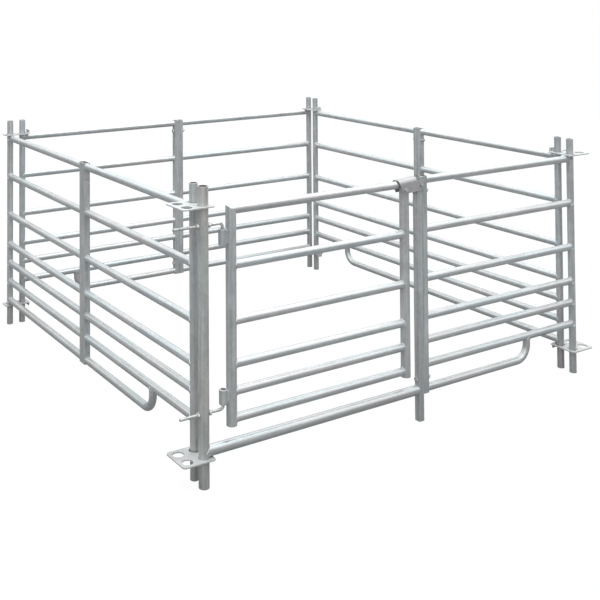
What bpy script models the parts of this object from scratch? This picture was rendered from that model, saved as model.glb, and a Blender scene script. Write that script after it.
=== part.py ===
"""Free-standing square livestock pen of galvanised tube, with a swing gate in its front side.

Metres, +Z up. The origin is on the ground at the centre of the pen's overall box. The front, with
the gate, faces -Y, and the hinge post stands at the front left corner (-X, -Y). Each side is two
half-panels bolted together at a pair of square mid uprights. In the front side one of the two
halves is the gateway.
"""
import math

import bmesh
import bpy
from mathutils import Matrix, Vector

# Plan
SIDE = 2.120            # hinge post axis to right corner tube axis, and the same front to back
PITCH = 0.072           # centre distance of the two tubes at a corner, and of the plate holes
GATEWAY = 1.120         # hinge post axis to the outer face of the gate post
GAP = 0.0003            # clearance between pieces that touch

# Tubes
TUBE_HEIGHT = 1.140
TUBE_R = 0.01685
POST_R = 0.0212         # hinge post, threshold bar and gate stiles
WALL = 0.0026
ROUND_SIDES = 12
RAIL_SIDES = 8

# Rails, from the top one down
TOP_RAIL_Z = 1.044
RAIL_GAPS = (0.216, 0.216, 0.166, 0.104, 0.104, 0.104)
RAIL_START = 0.008      # a rail's coped end begins this far from the corner tube's axis
WELD_BITE = 0.001       # a rail's end runs this far into the wall of a square upright
LOOP_REACH = 0.67       # share of a loop half's length at which its lowest rail turns up
LOOP_BEND_R = 0.070
LOOP_SLIP = 0.0002      # the loop's tube is this much slimmer, so its end stays inside the rail

# Square mid uprights and gate post
UPRIGHT = 0.030
UPRIGHT_WALL = 0.0025
UPRIGHT_OVER = 0.002    # how far it stands past the top rail and the lowest rail

# Fasteners
BOLT_R = 0.006
BOLT_HOLE_R = 0.0068
BOLT_HEIGHTS = (("upper", 0.997), ("lower", 0.180))
HEAD_FLATS = 0.019
HEAD_THICK = 0.0075
NUT_THICK = 0.010
NUT_BORE_R = 0.0064
THREAD_OUT = 0.007      # bolt end past its nut
ROD_SIDES = 8

# Corner plates
PLATE_THICK = 0.005
PLATE_HOLE_R = 0.0225
PLATE_CORNER_R = 0.012
PLATE_LIP = 0.018
LIP_WIDTH = 0.040
HOLE_SIDES = 16

# Gate leaf
PINTLE_X = 0.088        # pintle axis from the hinge post axis
HINGE_STILE_X = 0.1265
LATCH_STILE_X = GATEWAY - 0.094
GATE_DROP = 0.008       # the gate's rails sit this much below the panels' rails
STILE_OVER = 0.008      # the stiles end this far below the lowest rail
MITRE_REACH = 3         # the mitre's cutting wedge, in tube radii
SLEEVE_R = 0.01685
SLEEVE_BORE_R = 0.0066
SLEEVES = (("upper", 0.903, 0.965), ("lower", 0.295, 0.351))

# Pintle rods
PINTLE_Z = {"upper": 0.988, "lower": 0.2765}
PINTLE_TAIL = {"upper": 0.133, "lower": 0.106}
PINTLE_BEND_R = 0.016
PINTLE_IN_SLEEVE = 0.038

# Saddle latch
SADDLE_HALF = 0.0265    # outer half width of the bent plate
SADDLE_THICK = 0.003
SADDLE_BEND_R = 0.018   # outer radius of its two bends
SADDLE_CROWN = 0.030    # top of the saddle above the gate's top rail axis, over the pivot
SADDLE_DEPTH = 0.060    # crown to the lower edge of the flanges
SADDLE_TILT = 4.0       # degrees; the closed saddle's free end hangs down onto the rail
SADDLE_LEFT = 0.137     # ends, measured back from the outer face of the gate post
ROOF_RIGHT = 0.038
EAR_PAST = 0.009        # the ears run this far past that face
EAR_TOP = 0.0185        # above the pivot
FLANGE_SNIP = 0.017     # the flanges' lower corner is cut back by this much
SNIP_RISE = 0.045
STUD_R = 0.0080         # stud in the front flange, near its free end
STUD_OUT = 0.0040
STUD_AT = (-0.091, -0.010)   # from the pivot
PIVOT_DROP = 0.005      # pivot below the gate's top rail axis
PIVOT_R = 0.005
PIVOT_HOLE_R = 0.0056
PIVOT_HEAD_FLATS = 0.016
PIVOT_HEAD_THICK = 0.0065
PIVOT_NUT_THICK = 0.008

PLATE_REACH = 1.5 * PITCH   # a free plate hole's outer edge, measured from the corner tube's axis
RAIL_Z = [TOP_RAIL_Z - sum(RAIL_GAPS[:i]) for i in range(len(RAIL_GAPS) + 1)]
GATE_RAIL_Z = [z - GATE_DROP for z in RAIL_Z[:-1]]
LEFT = (PINTLE_TAIL["upper"] - SIDE - PLATE_REACH) / 2   # centres the pen's overall length
RIGHT = LEFT + SIDE
FRONT, BACK = -SIDE / 2, SIDE / 2
UPRIGHT_BOTTOM = RAIL_Z[-1] - TUBE_R - UPRIGHT_OVER
UPRIGHT_TOP = RAIL_Z[0] + TUBE_R + UPRIGHT_OVER
PIVOT_X = LEFT + GATEWAY - UPRIGHT / 2
PIVOT_Z = GATE_RAIL_Z[0] - PIVOT_DROP


# ---------------------------------------------------------------- helpers

def clear_scene():
    for old in list(bpy.data.objects):
        bpy.data.objects.remove(old, do_unlink=True)


def galvanised(name, shade, roughness):
    mat = bpy.data.materials.new(name)
    mat.use_nodes = True
    shader = mat.node_tree.nodes["Principled BSDF"]
    shader.inputs["Base Color"].default_value = (*shade, 1.0)
    shader.inputs["Metallic"].default_value = 0.85
    shader.inputs["Roughness"].default_value = roughness
    return mat


def finish_mesh(bm, name):
    bmesh.ops.remove_doubles(bm, verts=bm.verts, dist=1e-6)
    bmesh.ops.recalc_face_normals(bm, faces=bm.faces)
    mesh = bpy.data.meshes.new(name)
    bm.to_mesh(mesh)
    bm.free()
    return mesh


def place(name, mesh, mat, at=(0, 0, 0), turn=0.0, parent=None):
    """Put a mesh into the scene as a named piece, turned about +Z."""
    obj = bpy.data.objects.new(name, mesh)
    bpy.context.scene.collection.objects.link(obj)
    obj.location = at
    obj.rotation_euler = (0, 0, turn)
    if not mesh.materials:
        mesh.materials.append(mat)
    mesh.shade_smooth()
    mesh.set_sharp_from_angle(angle=math.radians(40))
    if parent is not None:
        obj.parent = parent
        obj.location = Vector(at) - parent.location
    return obj


def pivot_empty(name, at):
    empty = bpy.data.objects.new(name, None)
    bpy.context.scene.collection.objects.link(empty)
    empty.location = at
    return empty


def ring(bm, centre, across, up, radius, sides):
    points = []
    for i in range(sides):
        angle = 2 * math.pi * i / sides
        offset = across * (radius * math.cos(angle)) + up * (radius * math.sin(angle))
        points.append(bm.verts.new(centre + offset))
    return points


def bridge(bm, first, second):
    count = len(first)
    for i in range(count):
        j = (i + 1) % count
        bm.faces.new((first[i], first[j], second[j], second[i]))


def add_rod(bm, path, radius, sides):
    """Closed round rod along a path that lies in a plane of constant Y."""
    sideways = Vector((0, 1, 0))
    rings = []
    for i, point in enumerate(path):
        before = (path[i] - path[i - 1]).normalized() if i else None
        after = (path[i + 1] - path[i]).normalized() if i + 1 < len(path) else None
        if before is None or after is None:
            along, stretch = (before or after), 1.0
        else:
            along = (before + after).normalized()
            stretch = 1.0 / along.dot(after)
        across = sideways.cross(along) * stretch
        rings.append(ring(bm, point, across, sideways, radius, sides))
    for first, second in zip(rings, rings[1:]):
        bridge(bm, first, second)
    bm.faces.new(rings[0])
    bm.faces.new(rings[-1])


def rod_mesh(name, path, radius, sides=ROD_SIDES):
    bm = bmesh.new()
    add_rod(bm, [Vector(p) for p in path], radius, sides)
    return finish_mesh(bm, name)


def tube_mesh(name, radius, low, high, sides=ROUND_SIDES, bore=None):
    """Upright round tube, open at both ends."""
    bore = radius - WALL if bore is None else bore
    bm = bmesh.new()
    x, y = Vector((1, 0, 0)), Vector((0, 1, 0))
    rings = [ring(bm, Vector((0, 0, z)), x, y, r, sides)
             for r, z in ((radius, low), (radius, high), (bore, high), (bore, low))]
    for i in range(4):
        bridge(bm, rings[i], rings[(i + 1) % 4])
    return finish_mesh(bm, name)


def add_box(bm, low, high):
    size = Vector(high) - Vector(low)
    centre = (Vector(high) + Vector(low)) / 2
    matrix = Matrix.Translation(centre) @ Matrix.Diagonal((*size, 1.0))
    bmesh.ops.create_cube(bm, size=1.0, matrix=matrix)


def box_mesh(name, low, high):
    bm = bmesh.new()
    add_box(bm, low, high)
    return finish_mesh(bm, name)


def add_prism(bm, outline, thickness):
    """Closed prism from an outline of 3D points, pushed along the thickness vector."""
    front = [bm.verts.new(p) for p in outline]
    back = [bm.verts.new(p + thickness) for p in outline]
    bridge(bm, front, back)
    bm.faces.new(front)
    bm.faces.new(back)


def arc(centre, radius, start, end, steps):
    """2D points along an arc, angles in degrees."""
    points = []
    for i in range(steps + 1):
        angle = math.radians(start + (end - start) * i / steps)
        points.append((centre[0] + radius * math.cos(angle), centre[1] + radius * math.sin(angle)))
    return points


def combine(name, base, steps):
    """Apply a run of Booleans to a base mesh and return the resulting mesh."""
    work = bpy.data.objects.new(name, base)
    bpy.context.scene.collection.objects.link(work)
    tools = []
    for operation, mesh in steps:
        tool = bpy.data.objects.new(name + "_tool", mesh)
        bpy.context.scene.collection.objects.link(tool)
        tools.append(tool)
        modifier = work.modifiers.new(operation.lower(), "BOOLEAN")
        modifier.operation = operation
        modifier.solver = "EXACT"
        modifier.object = tool
    graph = bpy.context.evaluated_depsgraph_get()
    result = bpy.data.meshes.new_from_object(work.evaluated_get(graph))
    result.name = name
    for obj in (work, *tools):
        bpy.data.objects.remove(obj, do_unlink=True)
    bm = bmesh.new()
    bm.from_mesh(result)
    bmesh.ops.remove_doubles(bm, verts=bm.verts, dist=2e-6)
    bmesh.ops.dissolve_degenerate(bm, dist=1e-6, edges=bm.edges)
    bm.to_mesh(result)
    bm.free()
    return result


# ---------------------------------------------------------------- half-panels

def loop_path(length, start, end_z):
    """The lowest rail of a loop half: from the upright back along the ground, then up."""
    leg_x = length * (1 - LOOP_REACH)
    bend = arc((leg_x + LOOP_BEND_R, RAIL_Z[-1] + LOOP_BEND_R), LOOP_BEND_R, 270, 180, 5)
    points = [(start, RAIL_Z[-1]), *bend, (leg_x, end_z)]
    return [Vector((x, 0, z)) for x, z in points]


def straight_rails(name, heights, start, end, radius):
    bm = bmesh.new()
    for z in heights:
        add_rod(bm, [Vector((start, 0, z)), Vector((end, 0, z))], radius, RAIL_SIDES)
    return finish_mesh(bm, name)


def bolt_holes(name, start, end):
    return straight_rails(name, [z for _, z in BOLT_HEIGHTS], start, end, BOLT_HOLE_R)


def comb_mesh(name, length, has_loop):
    """Rails welded to a square upright. Local +X runs from the corner tube to the mid joint."""
    far = length - GAP / 2
    face = far - UPRIGHT
    half = UPRIGHT / 2
    heights = RAIL_Z[:-1] if has_loop else RAIL_Z
    bore_r = TUBE_R - WALL
    bore_end = face - WELD_BITE / 2
    inner = half - UPRIGHT_WALL
    outside = 0.01
    base = box_mesh(name, (face, -half, UPRIGHT_BOTTOM), (far, half, UPRIGHT_TOP))
    hollow = box_mesh(name, (face + UPRIGHT_WALL, -inner, UPRIGHT_BOTTOM - outside),
                      (far - UPRIGHT_WALL, inner, UPRIGHT_TOP + outside))
    steps = [("UNION", straight_rails(name, heights, RAIL_START, face + WELD_BITE, TUBE_R))]
    if has_loop:
        path = loop_path(length, face + WELD_BITE, RAIL_Z[-2])
        steps.append(("UNION", rod_mesh(name, path, TUBE_R - LOOP_SLIP, RAIL_SIDES)))
    steps.append(("DIFFERENCE", straight_rails(name, heights, 0.0, bore_end, bore_r)))
    if has_loop:
        path = loop_path(length, bore_end, RAIL_Z[-2])
        steps.append(("DIFFERENCE", rod_mesh(name, path, bore_r - LOOP_SLIP, RAIL_SIDES)))
    cope = rod_mesh(name, [(0, 0, 0), (0, 0, TUBE_HEIGHT)], TUBE_R + GAP, ROUND_SIDES)
    steps.append(("DIFFERENCE", cope))
    steps.append(("DIFFERENCE", hollow))
    steps.append(("DIFFERENCE", bolt_holes(name, face - outside, far + outside)))
    return combine(name, base, steps)


def build_half_panels(mat):
    side_half = (SIDE - PITCH) / 2
    right_half = (SIDE - 2 * PITCH) / 2
    quarter = math.pi / 2
    panels = (
        ("left_loop", (LEFT, FRONT + PITCH, 0), quarter, side_half, True),
        ("left_plain", (LEFT, BACK, 0), -quarter, side_half, False),
        ("back_loop", (LEFT + PITCH, BACK, 0), 0.0, side_half, True),
        ("back_plain", (RIGHT, BACK, 0), 2 * quarter, side_half, False),
        ("right_loop", (RIGHT, BACK - PITCH, 0), -quarter, right_half, True),
        ("right_plain", (RIGHT, FRONT + PITCH, 0), quarter, right_half, False),
        ("front_loop", (RIGHT, FRONT, 0), 2 * quarter, SIDE - GATEWAY, True),
    )
    corner_tube = tube_mesh("corner_tube", TUBE_R, 0.0, TUBE_HEIGHT)
    combs = {}
    for name, at, turn, length, has_loop in panels:
        kind = (length, has_loop)
        if kind not in combs:
            combs[kind] = comb_mesh("comb_" + name, length, has_loop)
        place(name + "_rails", combs[kind], mat, at, turn)
        place(name + "_corner_tube", corner_tube, mat, at, turn)


# ---------------------------------------------------------------- gateway

def build_gateway(mat):
    hinge_corner = (LEFT, FRONT, 0)
    reach = 0.05
    post_holes = straight_rails("holes", PINTLE_Z.values(), -reach, reach, BOLT_HOLE_R)
    post = tube_mesh("hinge_post", POST_R, 0.0, TUBE_HEIGHT)
    place("hinge_post", combine("hinge_post", post, [("DIFFERENCE", post_holes)]), mat, hinge_corner)

    end = GATEWAY - UPRIGHT - GAP
    bar = straight_rails("bar", RAIL_Z[-1:], RAIL_START, end, POST_R)
    bore = straight_rails("bore", RAIL_Z[-1:], 0.0, end + reach, POST_R - WALL)
    cope = rod_mesh("cope", [(0, 0, 0), (0, 0, TUBE_HEIGHT)], POST_R + GAP, ROUND_SIDES)
    bar = combine("threshold_bar", bar, [("DIFFERENCE", bore), ("DIFFERENCE", cope)])
    place("threshold_bar", bar, mat, hinge_corner)

    half, inner = UPRIGHT / 2, UPRIGHT / 2 - UPRIGHT_WALL
    post = box_mesh("gate_post", (-half, -half, 0), (half - GAP / 2, half, UPRIGHT_TOP))
    hollow = box_mesh("hollow", (-inner, -inner, -reach), (inner, inner, UPRIGHT_TOP + reach))
    bm = bmesh.new()
    add_prism(bm, [Vector((x, -reach, z + PIVOT_Z)) for x, z in
                   arc((0, 0), PIVOT_HOLE_R, 0, 330, 11)], Vector((0, 2 * reach, 0)))
    pivot_hole = finish_mesh(bm, "pivot_hole")
    post = combine("gate_post", post, [("DIFFERENCE", hollow), ("DIFFERENCE", pivot_hole),
                                       ("DIFFERENCE", bolt_holes("holes", -reach, reach))])
    place("gate_post", post, mat, (PIVOT_X, FRONT, 0))


def wedge(name, x, side, keep, z=0.0):
    """Half of the space around a mitred gate corner, as a prism along Y.

    The mitre plane runs from the stile's outer edge at the top rail's top to its inner edge at
    that rail's bottom. side is 1 where the rail leaves towards +X. keep is 1 for the rail's half
    of the space, -1 for the stile's half.
    """
    wide, tall = MITRE_REACH * POST_R, MITRE_REACH * TUBE_R
    slip = Vector((side * TUBE_R, 0, POST_R)).normalized() * GAP / 2 * keep
    corners = ((-side * wide, tall), (side * wide, -tall), (side * keep * wide, keep * tall))
    bm = bmesh.new()
    outline = [Vector((x + px, -wide, z + pz)) - slip for px, pz in corners]
    add_prism(bm, outline, Vector((0, 2 * wide, 0)))
    return finish_mesh(bm, name)


def build_gate(mat, pivot):
    low = GATE_RAIL_Z[-1] - TUBE_R - STILE_OVER
    high = GATE_RAIL_Z[0] + TUBE_R
    for name, x, side in (("hinge", HINGE_STILE_X, 1), ("latch", LATCH_STILE_X, -1)):
        rail_side = wedge("rail_side", 0.0, side, 1, GATE_RAIL_Z[0])
        stile = combine(f"stile_{name}", tube_mesh("stile", POST_R, low, high),
                        [("DIFFERENCE", rail_side)])
        place(f"gate_{name}_stile", stile, mat, (LEFT + x, FRONT, 0), parent=pivot)

    width = LATCH_STILE_X - HINGE_STILE_X
    reach = 0.05
    top_rail = straight_rails("top_rail", [0.0], -POST_R, width + POST_R, TUBE_R)
    bore = straight_rails("bore", [0.0], -reach, width + reach, TUBE_R - WALL)
    top_rail = combine("gate_top_rail", top_rail, [
        ("DIFFERENCE", bore), ("DIFFERENCE", wedge("stile_side", 0.0, 1, -1)),
        ("DIFFERENCE", wedge("stile_side", width, -1, -1))])

    rail = straight_rails("rail", [0.0], RAIL_START, width - RAIL_START, TUBE_R)
    bore = straight_rails("bore", [0.0], 0.0, width, TUBE_R - WALL)
    steps = [("DIFFERENCE", bore)]
    for x in (0.0, width):
        steps.append(("DIFFERENCE", rod_mesh("cope", [(x, 0, -reach), (x, 0, reach)],
                                             POST_R + GAP, ROUND_SIDES)))
    rail = combine("gate_rail", rail, steps)
    for number, z in enumerate(GATE_RAIL_Z, start=1):
        mesh = top_rail if number == 1 else rail
        place(f"gate_rail_{number}", mesh, mat, (LEFT + HINGE_STILE_X, FRONT, z), parent=pivot)

    for level, bottom, top in SLEEVES:
        sleeve = tube_mesh(f"gate_{level}_sleeve", SLEEVE_R, bottom, top, bore=SLEEVE_BORE_R)
        place(f"gate_{level}_sleeve", sleeve, mat, (LEFT + PINTLE_X, FRONT, 0), parent=pivot)


# ---------------------------------------------------------------- fasteners

def hexagon(radius, turn=0.0):
    return arc((0, 0), radius, turn, turn + 300, 5)


def bolt_mesh(name, grip, radius, head_flats, head_thick, nut_thick):
    """Bolt along +X: the head's underside is at x = 0 and the grip ends at x = grip."""
    head_r = head_flats / math.sqrt(3)
    bm = bmesh.new()
    head = [Vector((-head_thick, y, z)) for y, z in hexagon(head_r)]
    add_prism(bm, head, Vector((head_thick, 0, 0)))
    head = finish_mesh(bm, name)
    tip = grip + nut_thick + THREAD_OUT
    shank = rod_mesh(name, [(-head_thick / 2, 0, 0), (tip - radius / 3, 0, 0)], radius)
    point = rod_mesh(name, [(grip, 0, 0), (tip, 0, 0)], radius * 0.75)
    return combine(name, head, [("UNION", shank), ("UNION", point)])


def nut_mesh(name, flats, thick, bore_r):
    """Nut along +X from x = 0 to its thickness."""
    bm = bmesh.new()
    outline = [Vector((0, y, z)) for y, z in hexagon(flats / math.sqrt(3))]
    add_prism(bm, outline, Vector((thick, 0, 0)))
    bore = rod_mesh(name, [(-thick, 0, 0), (2 * thick, 0, 0)], bore_r)
    return combine(name, finish_mesh(bm, name), [("DIFFERENCE", bore)])


def along(at, turn, distance):
    return (at[0] + math.cos(turn) * distance, at[1] + math.sin(turn) * distance, at[2])


def build_mid_bolts(mat):
    grip = 2 * UPRIGHT + 2 * GAP
    bolt = bolt_mesh("bolt", grip, BOLT_R, HEAD_FLATS, HEAD_THICK, NUT_THICK)
    nut = nut_mesh("nut", HEAD_FLATS, NUT_THICK, NUT_BORE_R)
    side_half = (SIDE - PITCH) / 2
    right_half = (SIDE - 2 * PITCH) / 2
    quarter = math.pi / 2
    joints = (
        ("left", (LEFT, FRONT + PITCH + side_half), quarter),
        ("back", (LEFT + PITCH + side_half, BACK), 0.0),
        ("right", (RIGHT, FRONT + PITCH + right_half), -quarter),
        ("front", (LEFT + GATEWAY, FRONT), 0.0),
    )
    for side, (x, y), turn in joints:
        for level, z in BOLT_HEIGHTS:
            start = along((x, y, z), turn, -grip / 2)
            end = along((x, y, z), turn, grip / 2 + GAP)
            place(f"{side}_{level}_bolt", bolt, mat, start, turn)
            place(f"{side}_{level}_bolt_nut", nut, mat, end, turn)


def build_pintles(mat):
    nut = nut_mesh("pintle_nut", HEAD_FLATS, NUT_THICK, NUT_BORE_R)
    sleeve_span = {level: (bottom, top) for level, bottom, top in SLEEVES}
    for level, z in PINTLE_Z.items():
        bottom, top = sleeve_span[level]
        if level == "upper":
            way, pin_end = -1, top - PINTLE_IN_SLEEVE
        else:
            way, pin_end = 1, bottom + PINTLE_IN_SLEEVE
        centre = (PINTLE_X - PINTLE_BEND_R, z + way * PINTLE_BEND_R)
        bend = arc(centre, PINTLE_BEND_R, -90 * way, 0, 5)
        path = [(-PINTLE_TAIL[level], z), *bend, (PINTLE_X, pin_end)]
        rod = rod_mesh(f"pintle_{level}", [(x, 0, height) for x, height in path], BOLT_R)
        place(f"{level}_pintle", rod, mat, (LEFT, FRONT, 0))
        place(f"{level}_pintle_outer_nut", nut, mat,
              (LEFT - POST_R - GAP - NUT_THICK, FRONT, z))
        place(f"{level}_pintle_inner_nut", nut, mat, (LEFT + POST_R + GAP, FRONT, z))


# ---------------------------------------------------------------- latch

def build_latch(mat, pivot):
    """A strip bent into an upside-down U over the gate's top rail, with an ear each side."""
    crown = GATE_RAIL_Z[0] + SADDLE_CROWN - PIVOT_Z
    bottom = crown - SADDLE_DEPTH
    left = UPRIGHT / 2 - SADDLE_LEFT
    roof_right = UPRIGHT / 2 - ROOF_RIGHT
    ear_right = UPRIGHT / 2 + EAR_PAST
    flat, fold = SADDLE_HALF - SADDLE_BEND_R, crown - SADDLE_BEND_R
    inside_r, inside = SADDLE_BEND_R - SADDLE_THICK, SADDLE_HALF - SADDLE_THICK
    section = [(SADDLE_HALF, bottom), *arc((flat, fold), SADDLE_BEND_R, 0, 90, 6),
               *arc((-flat, fold), SADDLE_BEND_R, 90, 180, 6), (-SADDLE_HALF, bottom),
               (-inside, bottom), *arc((-flat, fold), inside_r, 180, 90, 6),
               *arc((flat, fold), inside_r, 90, 0, 6), (inside, bottom)]
    bm = bmesh.new()
    add_prism(bm, [Vector((left, y, z)) for y, z in section], Vector((ear_right - left, 0, 0)))
    strip = finish_mesh(bm, "saddle")

    # The roof stops short of the gate post, and the flanges' free corners are cut away.
    over = 0.02
    roof_cut = box_mesh("roof_cut", (roof_right, -inside, bottom - over),
                        (ear_right + over, inside, crown + over))
    ear_r = EAR_PAST
    corner = arc((ear_right - ear_r, EAR_TOP - ear_r), ear_r, 90, 0, 5)
    ear_cut = [(roof_right, EAR_TOP), *corner, (ear_right + over, EAR_TOP - ear_r),
               (ear_right + over, crown + over), (roof_right, crown + over)]
    snip = [(left - over, bottom - over), (left + FLANGE_SNIP, bottom - over),
            (left + FLANGE_SNIP, bottom), (left, bottom + SNIP_RISE),
            (left - over, bottom + SNIP_RISE)]
    hole = arc((0, 0), PIVOT_HOLE_R, 0, 330, 11)
    stud = [Vector((STUD_AT[0] + x, SADDLE_THICK / 2 - SADDLE_HALF, STUD_AT[1] + z))
            for x, z in arc((0, 0), STUD_R, 0, 330, 11)]
    steps = [("DIFFERENCE", roof_cut)]
    for outline in (ear_cut, snip, hole):
        bm = bmesh.new()
        add_prism(bm, [Vector((x, -0.05, z)) for x, z in outline], Vector((0, 0.1, 0)))
        steps.append(("DIFFERENCE", finish_mesh(bm, "cut")))
    bm = bmesh.new()
    add_prism(bm, stud, Vector((0, -STUD_OUT - SADDLE_THICK / 2, 0)))
    steps.append(("UNION", finish_mesh(bm, "stud")))
    saddle = combine("latch_saddle", strip, steps)
    saddle.transform(Matrix.Rotation(-math.radians(SADDLE_TILT), 4, "Y"))
    place("latch_saddle", saddle, mat, (PIVOT_X, FRONT, PIVOT_Z), parent=pivot)


def build_latch_pivot(mat):
    grip = 2 * SADDLE_HALF + 2 * GAP
    bolt = bolt_mesh("pivot", grip, PIVOT_R, PIVOT_HEAD_FLATS, PIVOT_HEAD_THICK, PIVOT_NUT_THICK)
    nut = nut_mesh("pivot_nut", PIVOT_HEAD_FLATS, PIVOT_NUT_THICK, PIVOT_R + 0.0004)
    turn = math.pi / 2
    place("latch_pivot_bolt", bolt, mat, (PIVOT_X, FRONT - grip / 2, PIVOT_Z), turn)
    place("latch_pivot_nut", nut, mat, (PIVOT_X, FRONT + grip / 2 + GAP, PIVOT_Z), turn)


# ---------------------------------------------------------------- corner plates

def lip_mesh(name, lip, lip_side, first_hole, low, high):
    """Folded-up or folded-down tab on one edge of a plate, centred on the first hole."""
    inset = 0.0002
    half = LIP_WIDTH / 2
    if lip_side[0]:
        edge = high[0] - inset if lip_side[0] > 0 else low[0] + inset
        x0, x1 = sorted((edge, edge - lip_side[0] * (PLATE_THICK - inset)))
        y0, y1 = first_hole[1] - half, first_hole[1] + half
    else:
        edge = high[1] - inset if lip_side[1] > 0 else low[1] + inset
        y0, y1 = sorted((edge, edge - lip_side[1] * (PLATE_THICK - inset)))
        x0, x1 = first_hole[0] - half, first_hole[0] + half
    middle = PLATE_THICK / 2
    z0, z1 = sorted((middle, middle + lip * (middle + PLATE_LIP)))
    return box_mesh(name, (x0, y0, z0), (x1, y1, z1))


def plate_mesh(name, holes, lip, lip_side):
    """Flat plate around a set of tube positions, with one lip folded up (1), down (-1) or none (0).

    lip_side is the plan direction of the edge that carries the lip.
    """
    margin = PITCH / 2
    low_x, high_x = min(x for x, _ in holes) - margin, max(x for x, _ in holes) + margin
    low_y, high_y = min(y for _, y in holes) - margin, max(y for _, y in holes) + margin
    r = PLATE_CORNER_R
    corners = ((high_x - r, high_y - r, 0), (low_x + r, high_y - r, 90),
               (low_x + r, low_y + r, 180), (high_x - r, low_y + r, 270))
    outline = []
    for x, y, start in corners:
        outline += arc((x, y), r, start, start + 90, 2)
    bm = bmesh.new()
    add_prism(bm, [Vector((x, y, 0)) for x, y in outline], Vector((0, 0, PLATE_THICK)))
    base = finish_mesh(bm, name)

    steps = []
    if lip:
        tab = lip_mesh(name, lip, lip_side, holes[0], (low_x, low_y), (high_x, high_y))
        steps.append(("UNION", tab))
    for x, y in holes:
        cut = rod_mesh(name, [(x, y, -0.01), (x, y, 0.02)], PLATE_HOLE_R, HOLE_SIDES)
        steps.append(("DIFFERENCE", cut))
    return combine(name, base, steps)


def build_corner_plates(mat):
    p = PITCH
    corners = (
        ("hinge_corner", (LEFT, FRONT), ((0, 0), (0, p), (-p, 0), (-p, p)), (0, 1), 0),
        ("right_corner", (RIGHT, FRONT), ((0, 0), (0, p), (p, 0), (p, p)), (0, 1), 1),
        ("left_corner", (LEFT, BACK), ((0, 0), (p, 0)), (1, 0), 1),
        ("back_corner", (RIGHT, BACK), ((0, 0), (0, -p)), (0, -1), 1),
    )
    top_z = RAIL_Z[0] + TUBE_R + GAP
    bottom_z = RAIL_Z[-1] - POST_R - GAP - PLATE_THICK
    for corner, (x, y), holes, lip_side, top_lip in corners:
        top = plate_mesh(corner + "_top", holes, top_lip, lip_side)
        bottom = plate_mesh(corner + "_bottom", holes, -1, lip_side)
        place(corner + "_top_plate", top, mat, (x, y, top_z))
        place(corner + "_bottom_plate", bottom, mat, (x, y, bottom_z))


# ---------------------------------------------------------------- build

def build():
    clear_scene()
    tube_zinc = galvanised("galvanised_tube", (0.48, 0.50, 0.50), 0.45)
    plate_zinc = galvanised("galvanised_plate", (0.60, 0.61, 0.61), 0.40)
    bolt_zinc = galvanised("zinc_fasteners", (0.52, 0.53, 0.52), 0.35)
    gate_pivot = pivot_empty("gate_swing_axis", (LEFT + PINTLE_X, FRONT, 0))
    latch_pivot = pivot_empty("latch_lift_axis", (PIVOT_X, FRONT, PIVOT_Z))
    build_half_panels(tube_zinc)
    build_gateway(tube_zinc)
    build_gate(tube_zinc, gate_pivot)
    build_latch(plate_zinc, latch_pivot)
    build_latch_pivot(bolt_zinc)
    build_pintles(bolt_zinc)
    build_mid_bolts(bolt_zinc)
    build_corner_plates(plate_zinc)


build()
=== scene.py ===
"""Looks of the galvanised livestock pen: fine tubes, welds, threads and zinc surfaces.

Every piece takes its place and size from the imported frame, in metres, +Z up. The side with the gate
faces -Y. Measures that the frame's boxes don't hold are named below.
"""
import math

import bmesh
import bpy
from mathutils import Matrix, Vector, noise


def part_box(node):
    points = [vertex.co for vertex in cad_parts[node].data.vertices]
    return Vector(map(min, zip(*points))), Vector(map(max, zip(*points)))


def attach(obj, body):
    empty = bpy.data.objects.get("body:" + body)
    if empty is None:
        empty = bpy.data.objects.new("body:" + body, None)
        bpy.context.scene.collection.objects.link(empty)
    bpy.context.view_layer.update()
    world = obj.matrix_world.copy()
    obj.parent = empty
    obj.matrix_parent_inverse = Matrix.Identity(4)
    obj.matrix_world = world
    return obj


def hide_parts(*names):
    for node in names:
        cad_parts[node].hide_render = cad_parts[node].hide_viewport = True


# Tubes
TUBE_SIDES = 40
WALL = 0.0026
RIM_BEVEL = 0.0006
SQUARE_CORNER = 0.0035       # outer corner radius of the square uprights
SQUARE_WALL = 0.0025
GATE_DROP = 0.008            # the gate's rails sit this much below the panels' rails
LOOP_REACH = 0.67            # share of a loop half's length at which its lowest rail turns up
LOOP_BEND_R = 0.070
LOOP_BEND_STEPS = 14
RAIL_LEAD = 0.03             # straight length kept behind a rail's shaped end
BAR_LEAD = 0.02              # the same where the end is cut square
POST_LEAD = 0.04             # the same on the threshold bar, at the hinge post

# Welds
BEAD_R = 0.0030
BEAD_SIDES = 8
BEAD_WOBBLE = 0.16
BEAD_GRAIN = 260.0           # ripples per metre, roughly
BEAD_STEPS = 16              # rings in an upright bead
BEAD_TAPER = 0.35            # its end rings are this share of its thickness
FACE_BEAD = BEAD_R * 0.9     # bead where a rail meets the flat of an upright
FACE_BEAD_IN = 0.0022        # it lies this far inside the rail's wall
BAR_BEAD_IN = 0.003          # the same on the threshold bar
MITRE_BEAD = 0.0016
SLEEVE_BEAD = 0.0042
SLEEVE_BEAD_APART = 0.0062   # of two upright beads, each this far from the middle
SLEEVE_BEAD_END = 0.004

# Gate sleeves
SLEEVE_PLAY = 0.0006         # bore past the pintle's rod, all round
SLEEVE_MOUTH_R = 0.0105      # the bores are countersunk at both ends
SLEEVE_MOUTH = 0.005

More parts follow.
